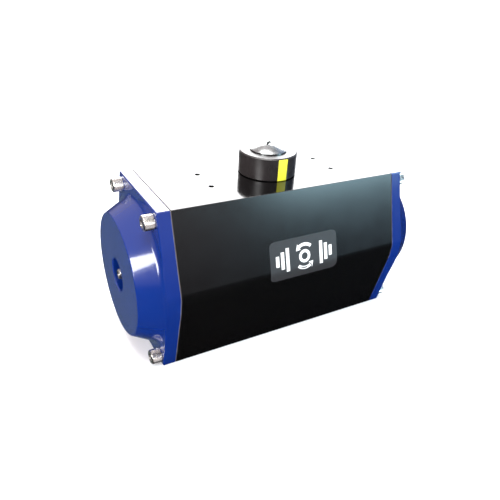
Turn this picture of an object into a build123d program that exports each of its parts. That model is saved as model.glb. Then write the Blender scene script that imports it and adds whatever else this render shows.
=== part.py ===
"""Rack-and-pinion quarter-turn pneumatic actuator, double acting, 125 mm bore.

Frame: origin at the centre of the bottom mounting face, on the pinion axis.
+X runs along the cylinder, +Z up the pinion, and the ports face +Y. Millimetres.
"""

import math
import os

from build123d import *

os.makedirs("parts", exist_ok=True)

# ---------------------------------------------------------------- dimensions
# body
BODY_L = 230.0  # length of the extrusion
HX = BODY_L / 2
H = 150.0  # height
ZB = 72.0  # height of the bore axis
BORE_R = 62.5
TOP_W = 48.0  # half widths of the slanted sides
KINK2 = (69.0, 79.5)
KINK1 = (68.0, 64.5)
BOT_W = 53.5
RAIL_Y = 74.0  # face of the port rail
RAIL_LO, RAIL_HI = 70.0, 116.0

# end caps
GASKET_T = 1.0
CAP_T = 11.5
DOME_D = 21.0
DOME_BASE_R = 67.5
DOME_FACE_R = 55.9
DOME_FILLET = 7.0
XF0 = HX + GASKET_T  # inner face of the cap
XF1 = XF0 + CAP_T  # outer face of the flange
XD = XF1 + DOME_D  # face of the dome
POCKET_R = 15.4
POCKET_D = 12.0
CAVITY_R = 58.0
RIM_R = 1.3

# cap screws, M8 socket heads
SCREW_YZ = [(-41.2, 139.8), (41.2, 139.8), (-46.4, 8.3), (46.4, 8.3)]
SCREW_R = 3.95
SCREW_HOLE_R = 4.0
SCREW_LEN = 25.0
HEAD_R = 6.5
HEAD_H = 9.5
HEAD_AF = 6.0
SPOT_R = 8.2

# pinion and racks
M = 2.5
TEETH = 18
RP = M * TEETH / 2
PITCH = math.pi * M
PA = math.radians(20)
THIN = 0.22  # each tooth is this much thinner than nominal on the pitch line
RA = RP + M
RR = RP - 1.25 * M
GEAR_LO, GEAR_HI = ZB - 21.0, ZB + 21.0
RACK_HALF = 20.0  # half the height of the rack
ROOT_Y = RP + 1.25 * M  # root line of the rack
TIP_Y = RP - M
ARM_END = 49.0  # the rack reaches this far past the pinion
JOURNAL_B = 24.0
LAND_B = 26.7
HOLE_B = 27.0
JOURNAL_T = 17.5
LAND_T = 19.7
HOLE_T = 20.0
DRIVE_AF = 22.0
DRIVE_D = 26.0
PIN_Z0 = 0.5
PIN_TOP = 166.0
TOP_SQ = 20.0

# pistons, at the closed end of their travel
PX0, PX1 = 51.0, 77.0
PIS_R = 62.2
SEAL_R = 62.45
STROKE = RP * math.pi / 2
STOP_TIP = PX1 + STROKE + 0.3
STUD_X = XD - 0.8  # outer end of the stop screws

# mounting holes
F10_PCD, F10_R, F10_D = 102.0, 4.25, 15.0
F07_PCD, F07_R, F07_D = 70.0, 3.4, 11.0
NAMUR_X, NAMUR_Y, NAMUR_R, NAMUR_D = 130.0, 30.0, 2.1, 8.0
PORT_X, PORT_Z, PORT_R, PORT_D = 12.0, 98.0, 5.9, 12.5
PAD_X, PAD_Z, PAD_R, PAD_D = 32.0, 24.0, 2.1, 8.0
CHAN = (50.5, 122.0)
CHAN_R = 3.0

# indicator
IND_R = 27.15
IND_Z0, IND_Z1 = 150.6, 171.5
STRIPE_W = 9.2
DOMED_R = 17.2
DOMED_H = 7.0

BORE_AXIS = Axis((0, 0, ZB), (1, 0, 0))
SIDE = Plane(origin=(0, 0, ZB), x_dir=(1, 0, 0), z_dir=(0, -1, 0))  # X, Z about the bore
UP = Plane.XZ  # X, Z about the pinion


def side_outline(rail):
    """Corner points of the cross-section in Y and Z."""
    near = [(-BOT_W, 0), (-KINK1[0], KINK1[1]), (-KINK2[0], KINK2[1]), (-TOP_W, H)]
    if not rail:
        return near + [(-y, z) for y, z in reversed(near)]
    far = [
        (TOP_W, H),
        (55.7, 124.2),
        (70.0, 120.0),
        (RAIL_Y, RAIL_HI),
        (RAIL_Y, RAIL_LO),
        (67.6, 62.7),
        (BOT_W, 0),
    ]
    return near + far


def near_point(v, points, tol=0.01):
    return any(abs(v.X - a) < tol and abs(v.Y - b) < tol for a, b in points)


def save(part, name):
    part.label = name
    export_step(part, f"parts/{name}.step")


# ---------------------------------------------------------------------- body
with BuildPart() as body:
    with BuildSketch(Plane.YZ.offset(-HX)) as section:
        with BuildLine():
            Polyline(*side_outline(True), close=True)
        make_face()
        fillet([v for v in section.vertices() if near_point(v, [(-KINK1[0], KINK1[1])])], 40)
        fillet([v for v in section.vertices() if near_point(v, [(-KINK2[0], KINK2[1])])], 18)
        fillet(
            [v for v in section.vertices() if near_point(v, [(55.7, 124.2), (70.0, 120.0), (67.6, 62.7)])],
            4,
        )
        fillet(
            [v for v in section.vertices() if near_point(v, [(-BOT_W, 0), (BOT_W, 0), (RAIL_Y, RAIL_HI), (RAIL_Y, RAIL_LO)])],
            1.2,
        )
        fillet([v for v in section.vertices() if near_point(v, [(-TOP_W, H), (TOP_W, H)])], 0.8)
    extrude(amount=BODY_L)
    # cylinder bore with lead-in chamfers
    with BuildSketch(SIDE):
        with BuildLine():
            Polyline(
                (-HX, 0),
                (-HX, BORE_R + 0.5),
                (-HX + 1.5, BORE_R),
                (HX - 1.5, BORE_R),
                (HX, BORE_R + 0.5),
                (HX, 0),
                close=True,
            )
        make_face()
    revolve(axis=BORE_AXIS, mode=Mode.SUBTRACT)
    # bearing holes for the pinion, with the locating recess underneath
    with BuildSketch(UP):
        with BuildLine():
            Polyline(
                (0, 0),
                (HOLE_B + 0.9, 0),
                (HOLE_B + 0.5, 0.4),
                (HOLE_B + 0.5, 2.0),
                (HOLE_B, 2.0),
                (HOLE_B, ZB),
                (HOLE_T, ZB),
                (HOLE_T, H - 0.4),
                (HOLE_T + 0.4, H),
                (0, H),
                close=True,
            )
        make_face()
    revolve(axis=Axis.Z, mode=Mode.SUBTRACT)
    # bottom bolt circles
    for pcd, r, depth in ((F10_PCD, F10_R, F10_D), (F07_PCD, F07_R, F07_D)):
        with BuildSketch(Plane.XY):
            with PolarLocations(pcd / 2, 4, start_angle=45):
                Circle(r)
        extrude(amount=depth, mode=Mode.SUBTRACT)
        with BuildSketch(Plane.XY):
            with PolarLocations(pcd / 2, 4, start_angle=45):
                Circle(r + 0.6)
        extrude(amount=0.6, taper=45, mode=Mode.SUBTRACT)
    # top accessory pattern
    with BuildSketch(Plane.XY.offset(H)):
        with GridLocations(NAMUR_X, NAMUR_Y, 2, 2):
            Circle(NAMUR_R)
    extrude(amount=-NAMUR_D, mode=Mode.SUBTRACT)
    with BuildSketch(Plane.XY.offset(H)):
        with GridLocations(NAMUR_X, NAMUR_Y, 2, 2):
            Circle(NAMUR_R + 0.5)
    extrude(amount=-0.5, taper=45, mode=Mode.SUBTRACT)
    # cap screw holes in both ends
    for x, d in ((HX, -20.0), (-HX, 20.0)):
        with BuildSketch(Plane.YZ.offset(x)):
            with Locations(*SCREW_YZ):
                Circle(SCREW_HOLE_R)
        extrude(amount=d, mode=Mode.SUBTRACT)
    # air ports on the rail: one opens into the middle chamber through a
    # smaller drilling, the other feeds the end chambers through a long channel
    rail = Plane(origin=(0, RAIL_Y, PORT_Z), x_dir=(-1, 0, 0), z_dir=(0, 1, 0))
    with BuildSketch(rail):
        with Locations((PORT_X, 0), (-PORT_X, 0)):
            Circle(PORT_R)
    extrude(amount=-PORT_D, mode=Mode.SUBTRACT)
    with BuildSketch(rail):
        with Locations((PORT_X, 0)):
            Circle(3.6)
    extrude(amount=-24.0, mode=Mode.SUBTRACT)
    with BuildSketch(rail):
        with Locations((PORT_X, 0), (-PORT_X, 0)):
            Circle(PORT_R + 1.0)
    extrude(amount=-1.0, taper=45, mode=Mode.SUBTRACT)
    with BuildSketch(rail):
        with GridLocations(PAD_X, PAD_Z, 2, 2):
            Circle(PAD_R)
    extrude(amount=-PAD_D, mode=Mode.SUBTRACT)
    with BuildSketch(Plane.YZ.offset(-HX)):
        with Locations(CHAN):
            Circle(CHAN_R)
    extrude(amount=BODY_L, mode=Mode.SUBTRACT)
    link = Plane(
        origin=(PORT_X, 63.5, 97.1),
        x_dir=(1, 0, 0),
        z_dir=(0, CHAN[0] - 63.5, CHAN[1] - 97.1),
    )
    with BuildSketch(link):
        Circle(2.2)
    extrude(amount=math.hypot(CHAN[0] - 63.5, CHAN[1] - 97.1), mode=Mode.SUBTRACT)
save(body.part, "body")

# ------------------------------------------------------------------ end caps
with BuildPart() as right_end_cap:
    # dome turned about the bore axis, blended into the flange
    with BuildSketch(SIDE) as dome:
        with BuildLine():
            Polyline(
                (XF1 - 2, 0),
                (XF1 - 2, 90),
                (XF1, 90),
                (XF1, DOME_BASE_R),
                (XD, DOME_FACE_R),
                (XD, 0),
                close=True,
            )
        make_face()
        fillet([v for v in dome.vertices() if near_point(v, [(XF1, DOME_BASE_R)])], DOME_FILLET)
        fillet([v for v in dome.vertices() if near_point(v, [(XD, DOME_FACE_R)])], 1.6)
    revolve(axis=BORE_AXIS)
    with BuildSketch(Plane.YZ.offset(XF0)) as trim:
        with BuildLine():
            Polyline(*side_outline(False), close=True)
        make_face()
        fillet([v for v in trim.vertices() if abs(abs(v.X) - KINK1[0]) < 0.01], 40)
        fillet([v for v in trim.vertices() if abs(abs(v.X) - KINK2[0]) < 0.01], 18)
        fillet([v for v in trim.vertices() if v.Y < 0.01 or v.Y > H - 0.01], 1.2)
    extrude(amount=60, mode=Mode.INTERSECT)
    with BuildSketch(Plane.YZ.offset(XF0)) as flange:
        with BuildLine():
            Polyline(*side_outline(False), close=True)
        make_face()
        fillet([v for v in flange.vertices() if abs(abs(v.X) - KINK1[0]) < 0.01], 40)
        fillet([v for v in flange.vertices() if abs(abs(v.X) - KINK2[0]) < 0.01], 18)
        fillet([v for v in flange.vertices() if v.Y < 0.01 or v.Y > H - 0.01], 1.2)
    extrude(amount=CAP_T)
    # rounded outer rim of the flange
    walls = [
        f
        for f in right_end_cap.faces()
        if abs(f.normal_at(f.center()).X) < 0.001 and f.bounding_box().min.X < XF0 + 0.01
    ]
    rim = [e for f in walls for e in f.edges() if e.bounding_box().min.X > XF1 - 0.01]
    fillet(rim, RIM_R)
    # spot faces that clear the screw heads out of the blend
    with BuildSketch(Plane.YZ.offset(XF1)):
        with Locations(*SCREW_YZ):
            Circle(SPOT_R)
    extrude(amount=30, mode=Mode.SUBTRACT)
    # hollow behind the dome, around a central boss
    with BuildSketch(SIDE):
        with BuildLine():
            Polyline(
                (XF0, 0),
                (XF0, CAVITY_R),
                (XF1 - 1.0, CAVITY_R),
                (XD - 6.5, 50.0),
                (XD - 6.5, 23.0),
                (XF0 + 6, 21.0),
                (XF0 + 6, 0),
                close=True,
            )
        make_face()
    revolve(axis=BORE_AXIS, mode=Mode.SUBTRACT)
    # six ribs between the boss and the rim
    with BuildSketch(Plane.YZ.offset(XD - 16)):
        with Locations((0, ZB)):
            with PolarLocations(37.0, 6, start_angle=30):
                Rectangle(36.0, 4.0)
    extrude(amount=12.0)
    # pocket, stop screw hole and its seal seat
    with BuildSketch(SIDE):
        with BuildLine():
            Polyline(
                (XF0, 0),
                (XF0, 5.0),
                (XD - POCKET_D - 2.0, 5.0),
                (XD - POCKET_D - 2.0, 7.4),
                (XD - POCKET_D, 7.4),
                (XD - POCKET_D, POCKET_R),
                (XD - 0.8, POCKET_R),
                (XD, POCKET_R + 0.8),
                (XD, 0),
                close=True,
            )
        make_face()
    revolve(axis=BORE_AXIS, mode=Mode.SUBTRACT)
    with BuildSketch(Plane.YZ.offset(XF0)):
        with Locations(*SCREW_YZ):
            Circle(4.5)
    extrude(amount=CAP_T, mode=Mode.SUBTRACT)
    # air slot from the channel to the hollow
    slot_a = math.degrees(math.atan2(CHAN[1] - ZB, CHAN[0]))
    slot_r = math.hypot(CHAN[0], CHAN[1] - ZB)
    with BuildSketch(Plane.YZ.offset(XF0)):
        with Locations(CHAN):
            Circle(CHAN_R)
        with Locations((0, ZB)):
            with PolarLocations((slot_r + 54.0) / 2, 1, start_angle=slot_a):
                Rectangle(slot_r - 54.0, 2 * CHAN_R)
    extrude(amount=4.0, mode=Mode.SUBTRACT)
save(right_end_cap.part, "right_end_cap")

with BuildPart() as left_end_cap:
    add(mirror(right_end_cap.part, about=Plane.YZ, mode=Mode.PRIVATE))
save(left_end_cap.part, "left_end_cap")

# ------------------------------------------------------------------- gaskets
with BuildPart() as right_gasket:
    with BuildSketch(Plane.YZ.offset(HX)) as seal:
        with BuildLine():
            Polyline(*side_outline(False), close=True)
        make_face()
        fillet([v for v in seal.vertices() if abs(abs(v.X) - KINK2[0]) < 0.01], 18)
        offset(amount=-0.6)
        with Locations((0, ZB)):
            Circle(BORE_R + 0.8, mode=Mode.SUBTRACT)
        with Locations(*SCREW_YZ):
            Circle(4.5, mode=Mode.SUBTRACT)
        with Locations(CHAN):
            Circle(CHAN_R + 0.2, mode=Mode.SUBTRACT)
    extrude(amount=GASKET_T)
save(right_gasket.part, "right_gasket")

with BuildPart() as left_gasket:
    add(mirror(right_gasket.part, about=Plane.YZ, mode=Mode.PRIVATE))
save(left_gasket.part, "left_gasket")

# ---------------------------------------------------------------- cap screws
with BuildPart() as right_cap_screws:
    with BuildSketch(Plane.YZ.offset(XF1)):
        with Locations(*SCREW_YZ):
            Circle(HEAD_R)
    extrude(amount=HEAD_H)
    fillet(right_cap_screws.faces().filter_by(Axis.X).sort_by(Axis.X)[-4:].edges(), 0.7)
    with BuildSketch(Plane.YZ.offset(XF1)):
        with Locations(*SCREW_YZ):
            Circle(SCREW_R)
    extrude(amount=-SCREW_LEN)
    chamfer(right_cap_screws.faces().filter_by(Axis.X).sort_by(Axis.X)[:4].edges(), 0.8)
    with BuildSketch(Plane.YZ.offset(XF1 + HEAD_H)):
        with Locations(*SCREW_YZ):
            RegularPolygon(HEAD_AF / 2, 6, major_radius=False)
    extrude(amount=-4.0, mode=Mode.SUBTRACT)
    with BuildSketch(Plane.YZ.offset(XF1 + HEAD_H)):
        with Locations(*SCREW_YZ):
            Circle(HEAD_AF / 2 + 0.6)
    extrude(amount=-0.7, taper=45, mode=Mode.SUBTRACT)
save(right_cap_screws.part, "right_cap_screws")

with BuildPart() as left_cap_screws:
    add(mirror(right_cap_screws.part, about=Plane.YZ, mode=Mode.PRIVATE))
save(left_cap_screws.part, "left_cap_screws")

# --------------------------------------------------------------- stop screws
with BuildPart() as right_stop_screw:
    with BuildSketch(SIDE):
        with BuildLine():
            Polyline(
                (STOP_TIP, 0),
                (STOP_TIP, 3.6),
                (STOP_TIP + 1.3, 4.95),
                (STUD_X - 1.1, 4.95),
                (STUD_X, 3.9),
                (STUD_X, 0),
                close=True,
            )
        make_face()
    revolve(axis=BORE_AXIS)
    with BuildSketch(Plane.YZ.offset(STUD_X)):
        with Locations((0, ZB)):
            RegularPolygon(2.5, 6, major_radius=False)
    extrude(amount=-5.0, mode=Mode.SUBTRACT)
save(right_stop_screw.part, "right_stop_screw")

with BuildPart() as left_stop_screw:
    add(mirror(right_stop_screw.part, about=Plane.YZ, mode=Mode.PRIVATE))
save(left_stop_screw.part, "left_stop_screw")

with BuildPart() as right_stop_o_ring:
    with BuildSketch(SIDE):
        with Locations((XD - POCKET_D - 0.9, 6.16)):
            Circle(1.1)
    revolve(axis=BORE_AXIS)
save(right_stop_o_ring.part, "right_stop_o_ring")

with BuildPart() as left_stop_o_ring:
    add(mirror(right_stop_o_ring.part, about=Plane.YZ, mode=Mode.PRIVATE))
save(left_stop_o_ring.part, "left_stop_o_ring")

# ------------------------------------------------------------------- pistons
with BuildPart() as right_piston:
    # head with its guide groove, seal groove and hollowed crown
    with BuildSketch(SIDE):
        with BuildLine():
            Polyline(
                (PX0, 0),
                (PX0, PIS_R - 1),
                (PX0 + 1, PIS_R),
                (PX0 + 4, PIS_R),
                (PX0 + 4, 60.0),
                (PX0 + 11, 60.0),
                (PX0 + 11, PIS_R),
                (PX0 + 15.4, PIS_R),
                (PX0 + 15.4, 58.15),
                (PX0 + 21.0, 58.15),
                (PX0 + 21.0, PIS_R),
                (PX1 - 1, PIS_R),
                (PX1, PIS_R - 1),
                (PX1, 50.0),
                (PX1 - 14, 48.0),
                (PX1 - 14, 16.0),
                (PX1, 13.0),
                (PX1, 0),
                close=True,
            )
        make_face()
    revolve(axis=BORE_AXIS)
    with BuildSketch(Plane.YZ.offset(PX1 - 15)):
        with Locations((0, ZB)):
            with PolarLocations(32.0, 6, start_angle=30):
                Rectangle(40.0, 5.0)
    extrude(amount=12.0)
    # rack arm behind the pinion
    with BuildSketch(Plane.YZ.offset(-ARM_END)):
        with Locations((0, ZB)):
            Circle(59.0)
        with Locations((-ROOT_Y - 25.0, ZB)):
            Rectangle(50.0, 2 * RACK_HALF, mode=Mode.INTERSECT)
    extrude(amount=ARM_END + PX0 + 2)
    # cored back
    with BuildSketch(Plane.YZ.offset(-10.0)):
        with Locations((-51.0, ZB)):
            Rectangle(24.0, 26.0)
    extrude(amount=54.0, mode=Mode.SUBTRACT)
    # seat of the guide pad
    with BuildSketch(Plane.YZ.offset(-45.0)):
        with Locations((-56.0, ZB)):
            Rectangle(16.0, 30.0)
        with Locations((0, ZB)):
            Circle(57.0, mode=Mode.SUBTRACT)
    extrude(amount=27.0, mode=Mode.SUBTRACT)
    # rack teeth
    half = PITCH / 4 - THIN / 2
    with BuildSketch(Plane.XY.offset(ZB - RACK_HALF)):
        for k in range(-6, 2):
            xc = (k + 0.5) * PITCH
            tip = half - M * math.tan(PA)
            root = half + 1.25 * M * math.tan(PA)
            with BuildLine():
                Polyline(
                    (xc - root, -ROOT_Y),
                    (xc - tip - 0.11, -TIP_Y - 0.3),
                    (xc - tip + 0.25, -TIP_Y),
                    (xc + tip - 0.25, -TIP_Y),
                    (xc + tip + 0.11, -TIP_Y - 0.3),
                    (xc + root, -ROOT_Y),
                    (xc + root, -ROOT_Y - 1.0),
                    (xc - root, -ROOT_Y - 1.0),
                    close=True,
                )
            make_face()
    extrude(amount=2 * RACK_HALF)
save(right_piston.part, "right_piston")

with BuildPart() as right_rack_pad:
    with BuildSketch(Plane.YZ.offset(-45.0)):
        with Locations((0, ZB)):
            Circle(SEAL_R)
        with Locations((-56.0, ZB)):
            Rectangle(16.0, 30.0, mode=Mode.INTERSECT)
        with Locations((0, ZB)):
            Circle(57.0, mode=Mode.SUBTRACT)
    extrude(amount=27.0)
save(right_rack_pad.part, "right_rack_pad")

with BuildPart() as right_guide_ring:
    with BuildSketch(SIDE):
        with BuildLine():
            Polyline(
                (PX0 + 4.1, 60.0),
                (PX0 + 4.1, SEAL_R - 0.4),
                (PX0 + 4.5, SEAL_R),
                (PX0 + 10.5, SEAL_R),
                (PX0 + 10.9, SEAL_R - 0.4),
                (PX0 + 10.9, 60.0),
                close=True,
            )
        make_face()
    revolve(axis=BORE_AXIS)
    # slanted split that lets the band snap into its groove
    with BuildSketch(Plane.XY.offset(ZB + 55.0)):
        with Locations(Location((PX0 + 7.5, 0, 0), (0, 0, 30))):
            Rectangle(14.0, 1.2)
    extrude(amount=12.0, mode=Mode.SUBTRACT)
save(right_guide_ring.part, "right_guide_ring")

with BuildPart() as right_piston_o_ring:
    with BuildSketch(SIDE):
        with Locations((PX0 + 18.2, 60.33)):
            Circle(2.12)
    revolve(axis=BORE_AXIS)
save(right_piston_o_ring.part, "right_piston_o_ring")

for name, source in (
    ("left_piston", right_piston),
    ("left_rack_pad", right_rack_pad),
    ("left_guide_ring", right_guide_ring),
    ("left_piston_o_ring", right_piston_o_ring),
):
    with BuildPart() as turned:
        add(source.part, rotation=(0, 0, 180))
    save(turned.part, name)

# -------------------------------------------------------------------- pinion
INV_PA = math.tan(PA) - PA
RB = RP * math.cos(PA)


def tooth_half(r):
    """Half the angle of a pinion tooth at radius r."""
    at_pitch = (math.pi * M / 2 - THIN) / (2 * RP)
    a = math.acos(min(1.0, RB / r))
    return at_pitch + INV_PA - (math.tan(a) - a)


def at(r, a):
    return (r * math.cos(a), r * math.sin(a))


with BuildPart() as pinion:
    with BuildSketch(UP):
        with BuildLine():
            Polyline(
                (0, PIN_Z0),
                (LAND_B - 0.6, PIN_Z0),
                (LAND_B, PIN_Z0 + 0.6),
                (LAND_B, 2.6),
                (24.5, 2.6),
                (24.5, 5.4),
                (LAND_B, 5.4),
                (LAND_B, 6.5),
                (JOURNAL_B, 6.5),
                (JOURNAL_B, 17.0),
                (21.0, 19.0),
                (21.0, GEAR_LO - 2.0),
                (19.0, GEAR_LO),
                (19.0, 131.0),
                (LAND_T - 0.3, 133.0),
                (LAND_T, 133.4),
                (LAND_T, 135.2),
                (17.5, 135.2),
                (17.5, 138.0),
                (LAND_T, 138.0),
                (LAND_T, 139.0),
                (JOURNAL_T, 139.0),
                (JOURNAL_T, 151.6),
                (16.4, 151.6),
                (16.4, 153.3),
                (JOURNAL_T, 153.3),
                (JOURNAL_T, 155.0),
                (13.0, 156.2),
                (13.0, PIN_TOP - 0.8),
                (12.2, PIN_TOP),
                (0, PIN_TOP),
                close=True,
            )
        make_face()
    revolve(axis=Axis.Z)
    # gear, one tooth pointing along -Y
    with BuildSketch(Plane.XY.offset(GEAR_LO)):
        Circle(RR)
        for k in range(TEETH):
            c = math.radians(-90 + 360 / TEETH * k)
            radii = [RB, 21.7, 22.6, 23.5, 24.3, RA]
            up = [at(r, c - tooth_half(r)) for r in radii]
            down = [at(r, c + tooth_half(r)) for r in reversed(radii)]
            base = tooth_half(RB)
            with BuildLine():
                Line(at(RR - 0.8, c - base - 0.03), at(RR + 0.3, c - base - 0.012))
                Line(at(RR + 0.3, c - base - 0.012), up[0])
                Spline(*up)
                ThreePointArc(up[-1], at(RA, c), down[0])
                Spline(*down)
                Line(down[-1], at(RR + 0.3, c + base + 0.012))
                Line(at(RR + 0.3, c + base + 0.012), at(RR - 0.8, c + base + 0.03))
                Line(at(RR - 0.8, c + base + 0.03), at(RR - 0.8, c - base - 0.03))
            make_face()
    extrude(amount=GEAR_HI - GEAR_LO)
    # double-square drive socket
    with BuildSketch(Plane.XY.offset(PIN_Z0)):
        Rectangle(DRIVE_AF, DRIVE_AF)
        Rectangle(DRIVE_AF, DRIVE_AF, rotation=45)
    extrude(amount=DRIVE_D, mode=Mode.SUBTRACT)
    # square on the top end, with its tapped hole
    with BuildSketch(Plane.XY.offset(156.2)):
        Circle(14.0)
        Rectangle(TOP_SQ, TOP_SQ, mode=Mode.SUBTRACT)
    extrude(amount=PIN_TOP - 156.2, mode=Mode.SUBTRACT)
    with BuildSketch(Plane.XY.offset(PIN_TOP)):
        Circle(3.0)
    extrude(amount=-18.0, mode=Mode.SUBTRACT)
save(pinion.part, "pinion")

with BuildPart() as pinion_bottom_bush:
    with BuildSketch(Plane.XY.offset(6.7)):
        Circle(HOLE_B)
        Circle(JOURNAL_B + 0.05, mode=Mode.SUBTRACT)
        with Locations((0, 25.5)):
            Rectangle(1.0, 6.0, mode=Mode.SUBTRACT)
    extrude(amount=8.7)
save(pinion_bottom_bush.part, "pinion_bottom_bush")

with BuildPart() as pinion_top_bush:
    with BuildSketch(Plane.XY.offset(139.2)):
        Circle(HOLE_T)
        Circle(JOURNAL_T + 0.05, mode=Mode.SUBTRACT)
    extrude(amount=10.3)
save(pinion_top_bush.part, "pinion_top_bush")

with BuildPart() as pinion_bottom_o_ring:
    with BuildSketch(UP):
        with Locations((25.73, 4.0)):
            Circle(1.22)
    revolve(axis=Axis.Z)
save(pinion_bottom_o_ring.part, "pinion_bottom_o_ring")

with BuildPart() as pinion_top_o_ring:
    with BuildSketch(UP):
        with Locations((18.73, 136.6)):
            Circle(1.22)
    revolve(axis=Axis.Z)
save(pinion_top_o_ring.part, "pinion_top_o_ring")

with BuildPart() as thrust_washer:
    with BuildSketch(Plane.XY.offset(H)):
        Circle(23.5)
        Circle(17.9, mode=Mode.SUBTRACT)
    extrude(amount=1.4)
    chamfer(thrust_washer.edges().filter_by(GeomType.CIRCLE).sort_by(Axis.Z)[-2:], 0.3)
save(thrust_washer.part, "thrust_washer")

with BuildPart() as circlip:
    with BuildSketch(Plane.XY.offset(151.75)):
        Circle(20.4)
        Circle(16.45, mode=Mode.SUBTRACT)
        with Locations((0, -22.0)):
            Rectangle(9.0, 14.0, mode=Mode.SUBTRACT)
        with Locations((-6.4, -19.6), (6.4, -19.6)):
            Circle(2.4)
        Circle(16.45, mode=Mode.SUBTRACT)
        with Locations((-6.4, -19.8), (6.4, -19.8)):
            Circle(1.0, mode=Mode.SUBTRACT)
    extrude(amount=1.4)
save(circlip.part, "circlip")

# ----------------------------------------------------------------- indicator
with BuildPart() as indicator:
    with BuildSketch(UP):
        with BuildLine():
            Polyline(
                (0, IND_Z0),
                (IND_R - 0.4, IND_Z0),
                (IND_R, IND_Z0 + 0.4),
                (IND_R, IND_Z1 - 1.1),
                (IND_R - 1.1, IND_Z1),
                (0, IND_Z1),
                close=True,
            )
        make_face()
    revolve(axis=Axis.Z)
    with BuildSketch(Plane.XY.offset(IND_Z0)):
        Circle(24.2)
    extrude(amount=6.4, mode=Mode.SUBTRACT)
    with BuildSketch(Plane.XY.offset(IND_Z0)):
        Circle(13.1)
        Rectangle(TOP_SQ + 0.15, TOP_SQ + 0.15, mode=Mode.INTERSECT)
    extrude(amount=PIN_TOP + 0.2 - IND_Z0, mode=Mode.SUBTRACT)
    with BuildSketch(Plane.XY.offset(IND_Z0)):
        Circle(3.3)
    extrude(amount=25.0, mode=Mode.SUBTRACT)
    # slots for the two inlaid marks
    with BuildSketch(Plane.XY.offset(IND_Z0)):
        with Locations((0, -27.15), (0, 27.15)):
            Rectangle(STRIPE_W, 3.0)
    extrude(amount=IND_Z1 - IND_Z0 - 1.0, mode=Mode.SUBTRACT)
save(indicator.part, "indicator")

with BuildPart() as indicator_stripes:
    with BuildSketch(Plane.XY.offset(IND_Z0)):
        Circle(IND_R + 0.1)
        with Locations((0, -27.15), (0, 27.15)):
            Rectangle(STRIPE_W, 3.0, mode=Mode.INTERSECT)
    extrude(amount=IND_Z1 - IND_Z0 - 1.0)
save(indicator_stripes.part, "indicator_stripes")

with BuildPart() as indicator_screw:
    rim_h = 1.2
    cap_h = DOMED_H - rim_h
    sr = (DOMED_R**2 + cap_h**2) / (2 * cap_h)
    mid = (DOMED_R * 0.55, IND_Z1 + rim_h - (sr - cap_h) + math.sqrt(sr**2 - (DOMED_R * 0.55) ** 2))
    with BuildSketch(UP):
        with BuildLine():
            Polyline(
                (0, 152.5),
                (2.3, 152.5),
                (2.95, 153.2),
                (2.95, IND_Z1),
                (DOMED_R - 0.3, IND_Z1),
                (DOMED_R, IND_Z1 + 0.3),
                (DOMED_R, IND_Z1 + rim_h),
            )
            ThreePointArc((DOMED_R, IND_Z1 + rim_h), mid, (0, IND_Z1 + DOMED_H))
            Line((0, IND_Z1 + DOMED_H), (0, 152.5))
        make_face()
    revolve(axis=Axis.Z)
    # cross recess
    with BuildSketch(Plane.XY.offset(IND_Z1 + DOMED_H)):
        Rectangle(13.0, 2.2, rotation=45)
        Rectangle(2.2, 13.0, rotation=45)
        Circle(2.4)
    extrude(amount=-3.4, taper=6, mode=Mode.SUBTRACT)
save(indicator_screw.part, "indicator_screw")
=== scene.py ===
"""Looks of the rack-and-pinion quarter-turn actuator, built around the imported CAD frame.

Metres, in the row frame: origin at the centre of the bottom face, +X along the cylinder,
+Y out of the ports, +Z up.
"""
import math

import bmesh
import bpy
from mathutils import Matrix, Vector


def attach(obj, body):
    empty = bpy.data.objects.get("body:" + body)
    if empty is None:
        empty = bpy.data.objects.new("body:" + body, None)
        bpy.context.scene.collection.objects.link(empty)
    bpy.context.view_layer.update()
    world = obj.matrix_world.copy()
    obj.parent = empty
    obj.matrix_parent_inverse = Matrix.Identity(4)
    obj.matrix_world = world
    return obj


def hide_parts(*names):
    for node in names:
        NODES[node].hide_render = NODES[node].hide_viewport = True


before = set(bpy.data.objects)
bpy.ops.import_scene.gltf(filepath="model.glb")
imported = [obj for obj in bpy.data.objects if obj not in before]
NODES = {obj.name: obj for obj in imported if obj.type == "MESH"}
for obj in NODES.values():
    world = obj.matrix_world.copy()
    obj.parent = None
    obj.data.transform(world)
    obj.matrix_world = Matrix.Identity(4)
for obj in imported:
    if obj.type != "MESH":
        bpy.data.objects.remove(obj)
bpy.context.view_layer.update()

MM = 0.001

# shape constants shared with the CAD model, in mm
H = 150.0
ZB = 72.0
HX = 115.0
XF1 = HX + 1.0 + 11.5
XD = XF1 + 21.0
SCREW_YZ = [(-41.2, 139.8), (41.2, 139.8), (-46.4, 8.3), (46.4, 8.3)]
STOP_TIP = 77.0 + 22.5 * math.pi / 2 + 0.3


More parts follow.
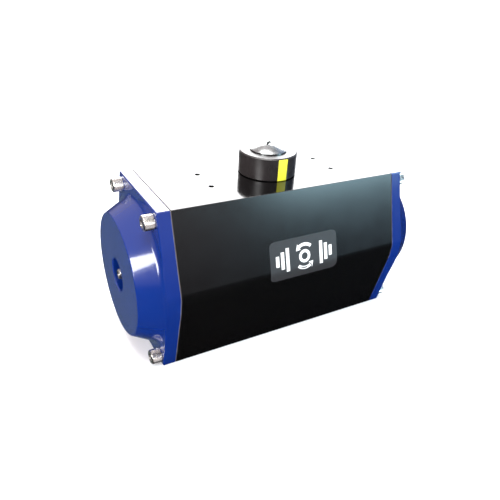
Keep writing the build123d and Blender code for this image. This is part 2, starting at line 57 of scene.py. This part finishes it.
# ----------------------------------------------------------------- materials
class Mat:
    """A Principled material with short helpers for its nodes."""

    def __init__(self, name):
        self.m = bpy.data.materials.new(name)
        self.m.use_nodes = True
        self.t = self.m.node_tree
        self.t.nodes.clear()
        self.out = self.t.nodes.new("ShaderNodeOutputMaterial")
        self.b = self.t.nodes.new("ShaderNodeBsdfPrincipled")
        self.t.links.new(self.b.outputs[0], self.out.inputs[0])
        self.co = self.t.nodes.new("ShaderNodeTexCoord").outputs["Object"]
        self._xyz = None

    def put(self, sock, v):
        if isinstance(v, bpy.types.NodeSocket):
            self.t.links.new(v, sock)
        elif isinstance(v, (tuple, list)) and len(v) == 3 and len(sock.default_value) == 4:
            sock.default_value = (*v, 1.0)
        else:
            sock.default_value = v

    def set(self, **kw):
        for k, v in kw.items():
            self.put(self.b.inputs[k.replace("_", " ")], v)

    def math(self, op, a, b=0.0, clamp=False):
        n = self.t.nodes.new("ShaderNodeMath")
        n.operation = op
        n.use_clamp = clamp
        self.put(n.inputs[0], a)
        self.put(n.inputs[1], b)
        return n.outputs[0]

    def scale(self, s, co=None):
        n = self.t.nodes.new("ShaderNodeVectorMath")
        n.operation = "MULTIPLY"
        self.put(n.inputs[0], co or self.co)
        n.inputs[1].default_value = s
        return n.outputs[0]

    def xyz(self):
        if self._xyz is None:
            n = self.t.nodes.new("ShaderNodeSeparateXYZ")
            self.put(n.inputs[0], self.co)
            self._xyz = n.outputs
        return self._xyz

    def combine(self, x, y, z):
        n = self.t.nodes.new("ShaderNodeCombineXYZ")
        for s, v in zip(n.inputs, (x, y, z)):
            self.put(s, v)
        return n.outputs[0]

    def noise(self, scale, detail=3.0, rough=0.55, co=None, dist=0.0):
        n = self.t.nodes.new("ShaderNodeTexNoise")
        self.put(n.inputs["Vector"], co or self.co)
        n.inputs["Scale"].default_value = scale
        n.inputs["Detail"].default_value = detail
        n.inputs["Roughness"].default_value = rough
        n.inputs["Distortion"].default_value = dist
        return n.outputs["Fac"]

    def voronoi(self, scale, co=None, feature="F1"):
        n = self.t.nodes.new("ShaderNodeTexVoronoi")
        n.feature = feature
        self.put(n.inputs["Vector"], co or self.co)
        n.inputs["Scale"].default_value = scale
        return n.outputs["Distance"]

    def span(self, v, lo, hi, a=0.0, b=1.0, smooth=False):
        n = self.t.nodes.new("ShaderNodeMapRange")
        n.clamp = True
        n.interpolation_type = "SMOOTHSTEP" if smooth else "LINEAR"
        for k, x in zip(("Value", "From Min", "From Max", "To Min", "To Max"), (v, lo, hi, a, b)):
            self.put(n.inputs[k], x)
        return n.outputs[0]

    def mix(self, f, a, b):
        n = self.t.nodes.new("ShaderNodeMix")
        n.data_type = "RGBA"
        self.put(n.inputs[0], f)
        self.put(n.inputs[6], a if isinstance(a, bpy.types.NodeSocket) else (*a, 1.0))
        self.put(n.inputs[7], b if isinstance(b, bpy.types.NodeSocket) else (*b, 1.0))
        return n.outputs[2]

    def bump(self, height, dist_mm, strength=1.0, under=None):
        n = self.t.nodes.new("ShaderNodeBump")
        n.inputs["Strength"].default_value = strength
        n.inputs["Distance"].default_value = dist_mm * MM
        self.put(n.inputs["Height"], height)
        if under is not None:
            self.put(n.inputs["Normal"], under)
        return n.outputs[0]

    def edge(self, radius_mm, lo=0.02, hi=0.25, samples=4):
        """1 on convex or concave edges, 0 on open faces."""
        bev = self.t.nodes.new("ShaderNodeBevel")
        bev.samples = samples
        bev.inputs["Radius"].default_value = radius_mm * MM
        geo = self.t.nodes.new("ShaderNodeNewGeometry")
        dot = self.t.nodes.new("ShaderNodeVectorMath")
        dot.operation = "DOT_PRODUCT"
        self.put(dot.inputs[0], bev.outputs[0])
        self.put(dot.inputs[1], geo.outputs["Normal"])
        return self.span(self.math("SUBTRACT", 1.0, dot.outputs["Value"]), lo, hi)


def anodised():
    """Black hard-anodised extrusion: die lines along X on the sides, milled top and ends."""
    k = Mat("anodised_body")
    lines = k.noise(1.0, 3.0, 0.55, k.scale((7.0, 900.0, 900.0)))
    grain = k.noise(1600.0, 2.0, 0.5)
    cloud = k.noise(22.0, 4.0, 0.6)
    smudge = k.noise(60.0, 3.0, 0.55, dist=0.6)
    mill = k.noise(1.0, 2.0, 0.5, k.scale((40.0, 2600.0, 40.0)))
    top = k.span(k.xyz()[2], 0.14975, 0.14985)
    tone = k.mix(cloud, (0.0012, 0.0011, 0.0012), (0.0019, 0.0018, 0.0018))
    tone = k.mix(k.span(lines, 0.45, 0.75, 0.0, 0.25), tone, (0.0045, 0.0044, 0.0050))
    wear = k.math("MULTIPLY", k.edge(0.5), k.span(k.noise(240.0, 3.0), 0.35, 0.62))
    tone = k.mix(k.math("MULTIPLY", wear, 0.4), tone, (0.12, 0.118, 0.115))
    rough = k.span(smudge, 0.3, 0.7, 0.205, 0.245)
    rough = k.math("ADD", rough, k.span(grain, 0.3, 0.7, -0.015, 0.015))
    rough = k.math("ADD", k.math("MULTIPLY", rough, k.math("SUBTRACT", 1.0, top)), k.math("MULTIPLY", k.span(smudge, 0.3, 0.7, 0.07, 0.115), top))
    n = k.bump(lines, 0.0008, 0.35)
    n = k.bump(grain, 0.0003, 0.35, n)
    k.set(Base_Color=tone, Metallic=0.0, Roughness=rough, Normal=n)
    k.b.inputs["IOR"].default_value = 1.62
    return k.m


def blue_paint():
    """Gloss royal-blue paint over a die casting: orange peel, dust nibs, thin scuffs, edges paled partly by rubbed
    paint and partly as a painted highlight.
    """
    k = Mat("blue_paint")
    cloud = k.noise(30.0, 3.0, 0.5)
    peel = k.noise(520.0, 2.0, 0.45)
    cast = k.noise(95.0, 2.0, 0.5)
    nib = k.span(k.voronoi(95.0), 0.0, 0.022, 1.0, 0.0)
    scuff = k.noise(1.0, 3.0, 0.6, k.scale((1200.0, 160.0, 60.0)), 0.4)
    col = k.mix(cloud, (0.0018, 0.0150, 0.122), (0.0030, 0.0205, 0.150))
    # edges mixed towards paler blue: partly rubbed-through paint, partly a painted highlight along the fillet lines
    worn_and_highlit_edge = k.math("MULTIPLY", k.edge(0.9, 0.03, 0.3), k.span(k.noise(160.0, 4.0, 0.65), 0.38, 0.60))
    col = k.mix(k.math("MULTIPLY", worn_and_highlit_edge, 0.55), col, (0.16, 0.23, 0.58))
    rough = k.span(k.noise(70.0, 4.0, 0.6), 0.3, 0.75, 0.10, 0.19)
    rough = k.math("ADD", rough, k.span(scuff, 0.66, 0.8, 0.0, 0.12))
    n = k.bump(cast, 0.016, 0.5)
    n = k.bump(peel, 0.0022, 0.5, n)
    n = k.bump(nib, 0.012, 0.4, n)
    k.set(Base_Color=col, Metallic=0.0, Roughness=rough, Normal=n)
    k.b.inputs["IOR"].default_value = 1.5
    k.b.inputs["Coat Weight"].default_value = 0.6
    k.b.inputs["Coat Roughness"].default_value = 0.05
    return k.m


def stainless(name="stainless", base=(0.70, 0.685, 0.655), low=0.2, high=0.34):
    """Turned and cold-headed stainless: fine turning grain, stains at random."""
    k = Mat(name)
    grain = k.noise(1.0, 3.0, 0.6, k.scale((3800.0, 900.0, 900.0)))
    spots = k.noise(700.0, 4.0, 0.6)
    stain = k.noise(190.0, 3.0, 0.6)
    col = k.mix(k.span(stain, 0.35, 0.7), base, tuple(c * 0.78 for c in base))
    col = k.mix(k.math("MULTIPLY", k.edge(0.6, 0.05, 0.4), 0.3), col, (0.88, 0.87, 0.85))
    rough = k.span(spots, 0.3, 0.7, low, high)
    n = k.bump(grain, 0.008, 0.6)
    k.set(Base_Color=col, Metallic=1.0, Roughness=rough, Normal=n)
    return k.m


def cast_aluminium():
    k = Mat("cast_aluminium")
    skin = k.noise(900.0, 4.0, 0.6)
    flow = k.noise(50.0, 3.0, 0.6, dist=1.2)
    pit = k.span(k.voronoi(800.0), 0.0, 0.12, 1.0, 0.0)
    col = k.mix(flow, (0.46, 0.46, 0.47), (0.66, 0.66, 0.67))
    k.set(Base_Color=col, Metallic=1.0, Roughness=k.span(skin, 0.3, 0.7, 0.32, 0.52), Normal=k.bump(pit, 0.02, 0.5, k.bump(skin, 0.03, 0.7)))
    return k.m


def plated_steel():
    k = Mat("pinion_steel")
    turn = k.noise(1.0, 2.0, 0.5, k.scale((300.0, 300.0, 5200.0)))
    cloud = k.noise(90.0, 3.0, 0.6)
    col = k.mix(cloud, (0.40, 0.39, 0.37), (0.58, 0.57, 0.54))
    col = k.mix(k.math("MULTIPLY", k.edge(0.5, 0.05, 0.4), 0.4), col, (0.75, 0.74, 0.71))
    k.set(Base_Color=col, Metallic=1.0, Roughness=k.span(turn, 0.3, 0.7, 0.24, 0.4), Normal=k.bump(turn, 0.006, 0.7))
    return k.m


def spring_steel():
    k = Mat("spring_steel")
    c = k.noise(500.0, 3.0)
    k.set(Base_Color=k.mix(c, (0.06, 0.06, 0.062), (0.12, 0.115, 0.11)), Metallic=0.85, Roughness=k.span(c, 0.3, 0.7, 0.35, 0.55), Normal=k.bump(c, 0.006, 0.5))
    return k.m


def rubber():
    k = Mat("seal_rubber")
    c = k.noise(1400.0, 3.0)
    dust = k.noise(90.0, 4.0, 0.65)
    k.set(Base_Color=k.mix(k.span(dust, 0.45, 0.75), (0.011, 0.011, 0.011), (0.035, 0.034, 0.032)), Roughness=k.span(c, 0.3, 0.7, 0.5, 0.75), Normal=k.bump(c, 0.01, 0.5))
    return k.m


def gasket_mat():
    k = Mat("gasket")
    c = k.noise(1100.0, 4.0, 0.7)
    k.set(Base_Color=k.mix(c, (0.105, 0.088, 0.085), (0.175, 0.150, 0.145)), Roughness=0.62, Normal=k.bump(c, 0.02, 0.6))
    return k.m


def bearing_plastic():
    k = Mat("bearing_plastic")
    c = k.noise(700.0, 2.0)
    s = k.noise(60.0, 3.0)
    k.set(Base_Color=k.mix(s, (0.66, 0.64, 0.56), (0.78, 0.76, 0.69)), Roughness=k.span(c, 0.3, 0.7, 0.3, 0.42), Normal=k.bump(c, 0.006, 0.5))
    k.b.inputs["Subsurface Weight"].default_value = 0.05
    k.b.inputs["Subsurface Radius"].default_value = (0.002, 0.002, 0.0015)
    return k.m


def black_plastic():
    """Moulded knob: fine spark-eroded grain, faint drag lines up the side, polished rim."""
    k = Mat("black_plastic")
    grain = k.noise(2600.0, 3.0, 0.6)
    drag = k.noise(1.0, 3.0, 0.6, k.scale((1500.0, 1500.0, 40.0)))
    hand = k.noise(120.0, 3.0, 0.6)
    wear = k.math("MULTIPLY", k.edge(0.8, 0.04, 0.35), k.span(k.noise(300.0), 0.35, 0.6))
    col = k.mix(hand, (0.0145, 0.0120, 0.0120), (0.0225, 0.0185, 0.0185))
    col = k.mix(k.math("MULTIPLY", wear, 0.4), col, (0.11, 0.10, 0.10))
    rough = k.math("ADD", k.span(hand, 0.3, 0.7, 0.26, 0.36), k.span(drag, 0.3, 0.7, -0.04, 0.05))
    k.set(Base_Color=col, Roughness=rough, Normal=k.bump(drag, 0.005, 0.6, k.bump(grain, 0.006, 0.6)))
    k.b.inputs["IOR"].default_value = 1.55
    return k.m


def yellow_plastic():
    k = Mat("yellow_plastic")
    c = k.noise(1500.0, 3.0)
    s = k.noise(150.0, 3.0)
    k.set(Base_Color=k.mix(s, (0.80, 0.735, 0.030), (0.88, 0.815, 0.050)), Roughness=k.span(c, 0.3, 0.7, 0.3, 0.45), Normal=k.bump(c, 0.006, 0.5))
    return k.m


def ink(name, a, b, rough):
    k = Mat(name)
    c = k.noise(2200.0, 3.0, 0.7)
    s = k.noise(130.0, 3.0)
    k.set(Base_Color=k.mix(s, a, b), Roughness=k.span(c, 0.3, 0.7, rough - 0.06, rough + 0.08), Normal=k.bump(c, 0.004, 0.5))
    return k.m


MATS = {
    "body": anodised(),
    "cap": blue_paint(),
    "stainless": stainless(),
    "domed": stainless("domed_steel", (0.36, 0.375, 0.375), 0.20, 0.30),
    "cast": cast_aluminium(),
    "steel": plated_steel(),
    "spring": spring_steel(),
    "rubber": rubber(),
    "gasket": gasket_mat(),
    "bearing": bearing_plastic(),
    "black": black_plastic(),
    "yellow": yellow_plastic(),
}
FINISH = {
    "body": "body",
    "left_end_cap": "cap", "right_end_cap": "cap",
    "left_gasket": "gasket", "right_gasket": "gasket",
    "left_cap_screws": "stainless", "right_cap_screws": "stainless",
    "left_stop_screw": "stainless", "right_stop_screw": "stainless",
    "left_stop_o_ring": "rubber", "right_stop_o_ring": "rubber",
    "left_piston": "cast", "right_piston": "cast",
    "left_rack_pad": "bearing", "right_rack_pad": "bearing",
    "left_guide_ring": "bearing", "right_guide_ring": "bearing",
    "left_piston_o_ring": "rubber", "right_piston_o_ring": "rubber",
    "pinion": "steel",
    "pinion_top_bush": "bearing", "pinion_bottom_bush": "bearing",
    "pinion_top_o_ring": "rubber", "pinion_bottom_o_ring": "rubber",
    "thrust_washer": "stainless", "circlip": "spring",
    "indicator": "black", "indicator_stripes": "yellow", "indicator_screw": "domed",
}
for name, obj in NODES.items():
    obj.data.materials.clear()
    obj.data.materials.append(MATS[FINISH[name]])


# -------------------------------------------------------------------- meshes
def new_object(name, bm, material, sharp_deg=32.0):
    me = bpy.data.meshes.new(name)
    bmesh.ops.recalc_face_normals(bm, faces=bm.faces)
    bm.to_mesh(me)
    bm.free()
    for p in me.polygons:
        p.use_smooth = True
    me.set_sharp_from_angle(angle=math.radians(sharp_deg))
    me.materials.append(material)
    ob = bpy.data.objects.new(name, me)
    bpy.context.scene.collection.objects.link(ob)
    return ob


def lathe(bm, rings, side, y, z, close_start=True, close_end=True):
    """Rings are (x_mm, radius function of the angle). side is +1 or -1 along X."""
    n = None
    rows = []
    for x, radii in rings:
        n = len(radii)
        row = []
        for i, r in enumerate(radii):
            a = 2 * math.pi * i / n
            row.append(bm.verts.new((side * x * MM, (y + r * math.cos(a)) * MM, (z + r * math.sin(a)) * MM)))
        rows.append(row)
    for a, b in zip(rows, rows[1:]):
        for i in range(n):
            j = (i + 1) % n
            bm.faces.new((a[i], a[j], b[j], b[i]))
    if close_start:
        bm.faces.new(rows[0])
    if close_end:
        bm.faces.new(rows[-1])


def hex_r(af, a):
    s = math.pi / 3
    return af / 2 / math.cos((a + s / 2) % s - s / 2)


def cap_screws(side_name, side):
    """Four M8 socket heads with a knurled rim, chamfered hexagon socket and plain shank."""
    bm = bmesh.new()
    seg = 144
    for idx, (y, z) in enumerate(SCREW_YZ):
        turn = 0.35 + 0.61 * idx

        def ring(r):
            return [r] * seg

        def knurl(hi, lo):
            return [hi if i % 2 else lo for i in range(seg)]

        def hexa(af, blend=1.0, r=0.0):
            return [blend * hex_r(af, 2 * math.pi * i / seg + turn) + (1 - blend) * r for i in range(seg)]

        b = XF1
        rings = [
            (b - 25.0, ring(3.1)),
            (b - 24.2, ring(3.95)),
            (b - 0.01, ring(3.95)),
            (b + 0.0, ring(6.1)),
            (b + 0.35, ring(6.38)),
            (b + 0.75, knurl(6.5, 6.22)),
            (b + 8.2, knurl(6.5, 6.22)),
            (b + 8.65, ring(6.28)),
            (b + 9.1, ring(6.05)),
            (b + 9.4, ring(5.6)),
            (b + 9.5, ring(5.1)),
            (b + 9.5, ring(4.0)),
            (b + 9.43, ring(3.72)),
            (b + 8.95, hexa(6.0, 0.85, 3.4)),
            (b + 8.7, hexa(6.0)),
            (b + 5.6, hexa(6.0)),
            (b + 5.5, hexa(5.7)),
            (b + 4.7, ring(0.6)),
        ]
        lathe(bm, rings, side, y, z)
    ob = new_object(side_name + "_cap_screw_heads", bm, MATS["stainless"], 24.0)
    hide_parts(side_name + "_cap_screws")
    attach(ob, "housing")
    return ob


def stop_screw(side_name, side):
    """M10 x 1.5 set screw with a real helical thread and a hexagon socket."""
    bm = bmesh.new()
    seg = 48
    pitch = 1.5
    x0, x1 = STOP_TIP, XD - 0.8
    step = pitch / 8
    n = int(round((x1 - x0) / step))
    rings = []
    for k in range(n + 1):
        x = x0 + (x1 - x0) * k / n
        limit = min(3.6 + (x - x0) * 1.1, 4.1 + (x1 - x) * 1.0, 4.95)
        radii = []
        for i in range(seg):
            ph = (x / pitch - side * i / seg) % 1.0
            tri = 1 - abs(2 * ph - 1)
            depth = 0.80 * min(1.0, max(0.0, (tri - 0.12) / 0.76))
            radii.append(min(limit, 4.95 - depth))
        rings.append((x, radii))
    for x, r in ((x1, 3.4), (x1 - 0.25, 3.0)):
        rings.append((x, [r] * seg))
    for x in (x1 - 0.6, x1 - 5.0):
        rings.append((x, [hex_r(5.0, 2 * math.pi * i / seg + 0.2) for i in range(seg)]))
    rings.append((x1 - 5.6, [0.4] * seg))
    lathe(bm, rings, side, 0.0, ZB)
    ob = new_object(side_name + "_stop_stud", bm, MATS["stainless"], 40.0)
    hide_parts(side_name + "_stop_screw")
    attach(ob, "housing")
    return ob


for nm, sd in (("left", -1), ("right", 1)):
    cap_screws(nm, sd)
    stop_screw(nm, sd)


# --------------------------------------------------- printed mark on the wall
def wall_profile():
    """Dense points down the near side wall in Y and Z, bends rounded as in the CAD."""
    pts = [Vector((-48.0, 150.0)), Vector((-69.0, 79.5)), Vector((-68.0, 64.5)), Vector((-53.5, 0.0))]
    rad = {1: 18.0, 2: 40.0}
    out = [pts[0]]
    for i in (1, 2):
        a, p, b = pts[i - 1], pts[i], pts[i + 1]
        u, v = (a - p).normalized(), (b - p).normalized()
        ang = u.angle(v)
        t = rad[i] / math.tan(ang / 2)
        c = p + (u + v).normalized() * rad[i] / math.sin(ang / 2)
        s, e = p + u * t - c, p + v * t - c
        for k in range(9):
            w = s.lerp(e, k / 8).normalized() * rad[i]
            out.append(c + w)
    out.append(pts[3])
    return out


WALL = wall_profile()
ARC = [0.0]
for a, b in zip(WALL, WALL[1:]):
    ARC.append(ARC[-1] + (b - a).length)


def on_wall(x, s, lift):
    """Point on the near wall: x along the body, s mm down from the top edge."""
    for k in range(len(ARC) - 1):
        if s <= ARC[k + 1] or k == len(ARC) - 2:
            f = (s - ARC[k]) / (ARC[k + 1] - ARC[k])
            p = WALL[k].lerp(WALL[k + 1], f)
            d = (WALL[k + 1] - WALL[k]).normalized()
            n = Vector((d.y, -d.x))
            if n.x > 0:
                n = -n
            p = p + n * lift
            return (x * MM, p.x * MM, p.y * MM)


def strip(bm, left, right, lift, base):
    """Thin raised print between two equally long polylines of (x, s)."""
    top_l = [bm.verts.new(on_wall(*p, lift)) for p in left]
    top_r = [bm.verts.new(on_wall(*p, lift)) for p in right]
    bot_l = [bm.verts.new(on_wall(*p, base)) for p in left]
    bot_r = [bm.verts.new(on_wall(*p, base)) for p in right]
    for i in range(len(left) - 1):
        bm.faces.new((top_l[i], top_r[i], top_r[i + 1], top_l[i + 1]))
        bm.faces.new((bot_l[i + 1], bot_r[i + 1], bot_r[i], bot_l[i]))
        bm.faces.new((top_l[i + 1], bot_l[i + 1], bot_l[i], top_l[i]))
        bm.faces.new((top_r[i], bot_r[i], bot_r[i + 1], top_r[i + 1]))
    bm.faces.new((top_l[0], bot_l[0], bot_r[0], top_r[0]))
    bm.faces.new((top_r[-1], bot_r[-1], bot_l[-1], top_l[-1]))


MARK_X, MARK_S = 7.0, 62.0  # centre of the mark
MARK_W, MARK_H = 74.0, 38.0


def mark_plate():
    bm = bmesh.new()
    rows, r = 40, 5.0
    left, right = [], []
    for k in range(rows + 1):
        s = -MARK_H / 2 + MARK_H * k / rows
        e = max(0.0, abs(s) - (MARK_H / 2 - r))
        w = MARK_W / 2 - r + math.sqrt(max(0.0, r * r - e * e))
        left.append((MARK_X - w, MARK_S + s))
        right.append((MARK_X + w, MARK_S + s))
    strip(bm, left, right, 0.05, -0.02)
    ob = new_object("mark_ground", bm, ink("mark_grey", (0.020, 0.020, 0.022), (0.028, 0.027, 0.029), 0.45), 60.0)
    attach(ob, "housing")
    return ob


def ring_strip(bm, cx, cs, r0, r1, a0, a1, n=28, lift=0.1):
    inner, outer = [], []
    for k in range(n + 1):
        a = math.radians(a0 + (a1 - a0) * k / n)
        inner.append((cx + r0 * math.cos(a), cs - r0 * math.sin(a)))
        outer.append((cx + r1 * math.cos(a), cs - r1 * math.sin(a)))
    strip(bm, inner, outer, lift, 0.03)


def wedge_strip(bm, base_a, base_b, tip, n=8, lift=0.1):
    """Arrow head: a triangle as a strip that narrows to its tip."""
    left = [(base_a[0] + (tip[0] - base_a[0]) * k / n * 0.97, base_a[1] + (tip[1] - base_a[1]) * k / n * 0.97) for k in range(n + 1)]
    right = [(base_b[0] + (tip[0] - base_b[0]) * k / n * 0.97, base_b[1] + (tip[1] - base_b[1]) * k / n * 0.97) for k in range(n + 1)]
    strip(bm, left, right, lift, 0.03)


def bar_strip(bm, x0, x1, s0, s1, lift=0.1):
    n = 10
    left = [(x0, s0 + (s1 - s0) * k / n) for k in range(n + 1)]
    right = [(x1, s0 + (s1 - s0) * k / n) for k in range(n + 1)]
    strip(bm, left, right, lift, 0.03)


def mark_print():
    """Generic quarter-turn pictogram: a hub, two opposed arrows, and bars at each side."""
    bm = bmesh.new()
    cx, cs = MARK_X, MARK_S
    ring_strip(bm, cx, cs, 3.4, 6.2, 0, 360, 40)
    for a0 in (50, 230):
        ring_strip(bm, cx, cs, 9.6, 12.6, a0, a0 + 72, 24)
        tip_a, base_a = math.radians(a0 + 72 + 25), math.radians(a0 + 72)
        wedge_strip(
            bm,
            (cx + 7.8 * math.cos(base_a), cs - 7.8 * math.sin(base_a)),
            (cx + 14.4 * math.cos(base_a), cs - 14.4 * math.sin(base_a)),
            (cx + 11.0 * math.cos(tip_a), cs - 11.0 * math.sin(tip_a)),
        )
    for sgn in (-1, 1):
        for i, hgt in enumerate((11.0, 8.0, 5.0)):
            x = cx + sgn * (18.5 + 5.4 * i)
            bar_strip(bm, x - 1.7, x + 1.7, cs - hgt, cs + hgt)
    ob = new_object("mark_print", bm, ink("mark_white", (0.78, 0.78, 0.77), (0.86, 0.86, 0.85), 0.4), 60.0)
    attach(ob, "housing")
    return ob


mark_plate()
mark_print()


# --------------------------------------------------------------- stage, light
def floor():
    bm = bmesh.new()
    bmesh.ops.create_grid(bm, x_segments=2, y_segments=2, size=40.0)
    me = bpy.data.meshes.new("floor")
    bm.to_mesh(me)
    bm.free()
    ob = bpy.data.objects.new("floor", me)
    bpy.context.scene.collection.objects.link(ob)
    ob.location.z = -0.0002
    k = Mat("floor")
    k.set(Base_Color=k.mix(k.noise(3.0), (0.86, 0.86, 0.86), (0.88, 0.88, 0.88)), Roughness=0.9)
    k.b.inputs["Specular IOR Level"].default_value = 0.1
    xyz = k.xyz()
    far = k.math("POWER", k.math("ADD", k.math("MULTIPLY", xyz[0], xyz[0]), k.math("MULTIPLY", xyz[1], xyz[1])), 0.5)
    k.put(k.b.inputs["Emission Color"], (1.0, 1.0, 1.0))
    k.put(k.b.inputs["Emission Strength"], k.span(far, 0.9, 3.2, 0.12, 1.0, True))
    me.materials.append(k.m)
    ob.visible_glossy = False
    return ob


floor()

world = bpy.data.worlds.new("studio")
bpy.context.scene.world = world
world.use_nodes = True
wt = world.node_tree
wt.nodes.clear()
w_out = wt.nodes.new("ShaderNodeOutputWorld")
w_bg = wt.nodes.new("ShaderNodeBackground")
w_co = wt.nodes.new("ShaderNodeTexCoord")
w_sep = wt.nodes.new("ShaderNodeSeparateXYZ")
w_ramp = wt.nodes.new("ShaderNodeValToRGB")
w_map = wt.nodes.new("ShaderNodeMapRange")
wt.links.new(w_co.outputs["Generated"], w_sep.inputs[0])
wt.links.new(w_sep.outputs[2], w_map.inputs["Value"])
w_map.inputs["From Min"].default_value = -1.0
w_map.inputs["From Max"].default_value = 1.0
wt.links.new(w_map.outputs[0], w_ramp.inputs[0])
cr = w_ramp.color_ramp
cr.elements[0].position, cr.elements[0].color = 0.0, (0.010, 0.010, 0.011, 1)
cr.elements[1].position, cr.elements[1].color = 1.0, (0.75, 0.78, 0.82, 1)
for pos, c in ((0.40, (0.016, 0.016, 0.018)), (0.475, (0.08, 0.08, 0.09)), (0.50, (0.20, 0.20, 0.23)), (0.535, (0.36, 0.37, 0.41)), (0.62, (0.50, 0.52, 0.56))):
    e = cr.elements.new(pos)
    e.color = (*c, 1)


def w_span(sock, lo, hi, a=0.0, b=1.0):
    n = wt.nodes.new("ShaderNodeMapRange")
    n.interpolation_type = "SMOOTHSTEP"
    wt.links.new(sock, n.inputs["Value"])
    for k, x in zip(("From Min", "From Max", "To Min", "To Max"), (lo, hi, a, b)):
        n.inputs[k].default_value = x
    return n.outputs[0]


def w_mix(kind, fac, a, b):
    n = wt.nodes.new("ShaderNodeMix")
    n.data_type = "RGBA"
    n.blend_type = kind
    n.clamp_factor = True
    for sock, v in ((n.inputs[0], fac), (n.inputs[6], a), (n.inputs[7], b)):
        if isinstance(v, bpy.types.NodeSocket):
            wt.links.new(v, sock)
        else:
            sock.default_value = v
    return n.outputs[2]


warm = w_mix("MULTIPLY", w_span(w_sep.outputs[0], 0.55, 0.25), w_ramp.outputs[0], (1.40, 1.20, 1.14, 1))
cool = w_mix("MULTIPLY", w_span(w_sep.outputs[0], 0.40, 0.72), warm, (0.84, 1.00, 1.30, 1))
behind = w_mix("MIX", w_span(w_sep.outputs[1], 0.15, 0.75), (0, 0, 0, 1), (0.115, 0.150, 0.145, 1))
lit = w_mix("MIX", w_span(w_sep.outputs[2], -0.05, -0.30), (0, 0, 0, 1), behind)
sky = w_mix("ADD", 1.0, cool, lit)
w_path = wt.nodes.new("ShaderNodeLightPath")
wt.links.new(w_mix("MIX", w_path.outputs["Is Camera Ray"], sky, (1.0, 1.0, 1.0, 1)), w_bg.inputs[0])
w_bg.inputs[1].default_value = 1.0
wt.links.new(w_bg.outputs[0], w_out.inputs[0])


def area(name, at, look, size, power, color=(1, 1, 1)):
    li = bpy.data.lights.new(name, "AREA")
    li.shape = "RECTANGLE"
    li.size, li.size_y = size
    li.energy = power
    li.color = color
    ob = bpy.data.objects.new(name, li)
    bpy.context.scene.collection.objects.link(ob)
    at, look = Vector(at), Vector(look)
    ob.matrix_world = Matrix.Translation(at) @ (look - at).to_track_quat("-Z", "Y").to_matrix().to_4x4()
    return ob


# the wide panel behind is what the milled top mirrors
area("back_panel", (1.05, 1.75, 0.95), (0.0, 0.0, 0.10), (2.4, 1.5), 88.0)
area("top_panel", (-0.2, -0.1, 1.6), (0.0, 0.0, 0.1), (1.2, 0.9), 26.0)
area("left_window", (-1.35, -0.75, 0.75), (-0.1, 0.0, 0.08), (0.55, 0.8), 24.0)
area("right_fill", (1.4, -1.5, 0.68), (0.0, 0.0, 0.08), (1.0, 0.7), 26.0, (0.55, 0.88, 1.0))

# -------------------------------------------------------------------- camera
AZ, EL, ROLL = math.radians(-31.6995), math.radians(29.1838), math.radians(4.1953)
back = Vector((math.sin(AZ) * math.cos(EL), -math.cos(AZ) * math.cos(EL), math.sin(EL)))
fwd = -back
right = fwd.cross(Vector((0, 0, 1))).normalized()
up = right.cross(fwd)
r2 = math.cos(ROLL) * right + math.sin(ROLL) * up
u2 = -math.sin(ROLL) * right + math.cos(ROLL) * up
cam = bpy.data.cameras.new("camera")
cam.sensor_width = 36.0
cam.lens = 36.0 * 500.656 / 500.0
cam.shift_x = (250.0 - 254.407) / 500.0
cam.shift_y = (247.355 - 250.0) / 500.0
cam.clip_start = 0.01
cam_ob = bpy.data.objects.new("camera", cam)
bpy.context.scene.collection.objects.link(cam_ob)
pos = Vector((-0.242673, -0.381193, 0.168669 + 0.150))
m = Matrix((
    (r2.x, u2.x, back.x, pos.x),
    (r2.y, u2.y, back.y, pos.y),
    (r2.z, u2.z, back.z, pos.z),
    (0, 0, 0, 1),
))
cam_ob.matrix_world = m
bpy.context.scene.camera = cam_ob
bpy.context.scene.view_settings.view_transform = "Standard"
